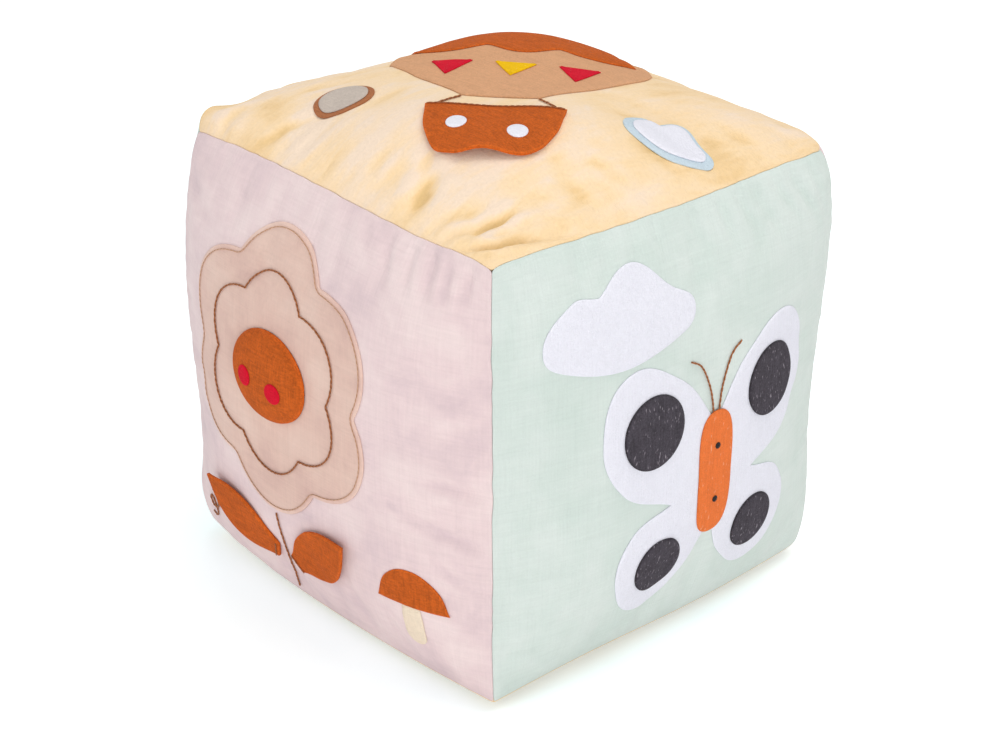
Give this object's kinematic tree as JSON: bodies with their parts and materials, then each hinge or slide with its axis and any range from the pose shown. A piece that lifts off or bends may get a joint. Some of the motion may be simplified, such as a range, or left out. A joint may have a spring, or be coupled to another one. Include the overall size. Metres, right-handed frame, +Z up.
{
  "type": "soft fabric block",
  "caption": "Stuffed cloth cube for a baby: panels of soft cotton and plush, with felt shapes and embroidery sewn on and three felt flaps that lift.",
  "frame": {"origin": "middle of the resting face, on the surface the block stands on", "axes": "+Z up, -Y towards the pink face with the flower, +X towards the mint face with the butterfly"},
  "size_m": [0.2367, 0.2514, 0.233],
  "materials": {
    "butter_plush": "short soft pile",
    "pink_cotton": "fine brushed weave",
    "mint_cotton": "brushed weave",
    "fibre": "loose matt fibre",
    "tan_felt": "matt felt",
    "rust_felt": "matt felt",
    "red_felt": "matt felt",
    "yellow_felt": "matt felt",
    "white_felt": "matt felt",
    "pale_blue_felt": "matt felt",
    "grey_tan_felt": "matt felt",
    "brown_felt": "matt felt",
    "charcoal_felt": "matt felt",
    "orange_felt": "matt felt",
    "cream_felt": "matt felt",
    "peach_cotton": "fine weave",
    "brown_thread": "twisted, slightly glossy",
    "black_thread": "twisted, matt"
  },
  "bodies": {
    "block": {"fibre_filling": "fibre", "top_panel": "butter_plush", "bottom_panel": "butter_plush", "front_panel": "pink_cotton", "back_panel": "pink_cotton", "right_panel": "mint_cotton", "left_panel": "mint_cotton", "balloon_envelope": "tan_felt", "balloon_cap": "rust_felt", "red_pennant_left": "red_felt", "yellow_pennant": "yellow_felt", "red_pennant_right": "red_felt", "rope_left": "brown_thread", "rope_right": "brown_thread", "basket_hem": "rust_felt", "cloud_under_layer": "pale_blue_felt", "cloud_upper_layer": "white_felt", "moon_under_layer": "brown_felt", "moon_upper_layer": "grey_tan_felt", "flower_petals": "peach_cotton", "petal_stitching": "brown_thread", "flower_padding": "fibre", "flower_centre": "rust_felt", "flower_dot_left": "red_felt", "flower_dot_right": "red_felt", "flower_stem": "brown_thread", "leaf_hem_left": "rust_felt", "leaf_hem_right": "rust_felt", "tendril": "brown_thread", "toadstool_cap": "rust_felt", "toadstool_stem": "cream_felt", "butterfly_wings": "white_felt", "wing_patch_upper_left": "charcoal_felt", "wing_patch_lower_left": "charcoal_felt", "wing_patch_upper_right": "charcoal_felt", "wing_patch_lower_right": "charcoal_felt", "butterfly_body": "orange_felt", "body_dot_upper": "black_thread", "body_dot_lower": "black_thread", "antenna_left": "brown_thread", "antenna_right": "brown_thread", "side_cloud": "white_felt", "boat_hull": "charcoal_felt", "boat_mast": "brown_thread", "main_sail": "white_felt", "jib_sail": "white_felt", "boat_flag": "red_felt", "pear": "tan_felt", "pear_stem": "brown_thread", "pear_leaf": "rust_felt", "heart": "red_felt"},
    "basket_flap": {"basket_lining": "rust_felt", "basket_front": "rust_felt", "basket_dot_left": "white_felt", "basket_dot_right": "white_felt"},
    "left_leaf_flap": {"leaf_left": "rust_felt"},
    "right_leaf_flap": {"leaf_right": "rust_felt"}
  },
  "joints": [
    {"name": "basket_seam", "type": "hinge", "parent": "block", "child": "basket_flap", "pos_m": [0.03103, -0.03703, 0.23224], "axis": [-0.7664, -0.6423, -0.01], "range_deg": [0, 150], "stiffness_Nm_per_rad": 0.0008},
    {"name": "left_leaf_seam", "type": "hinge", "parent": "block", "child": "left_leaf_flap", "pos_m": [-0.02142, -0.11708, 0.03568], "axis": [0.416, -0.2238, 0.8814], "range_deg": [0, 100], "stiffness_Nm_per_rad": 0.0005},
    {"name": "right_leaf_seam", "type": "hinge", "parent": "block", "child": "right_leaf_flap", "pos_m": [-0.00258, -0.11718, 0.03564], "axis": [0.571, 0.2003, -0.7962], "range_deg": [0, 100], "stiffness_Nm_per_rad": 0.0005}
  ]
}
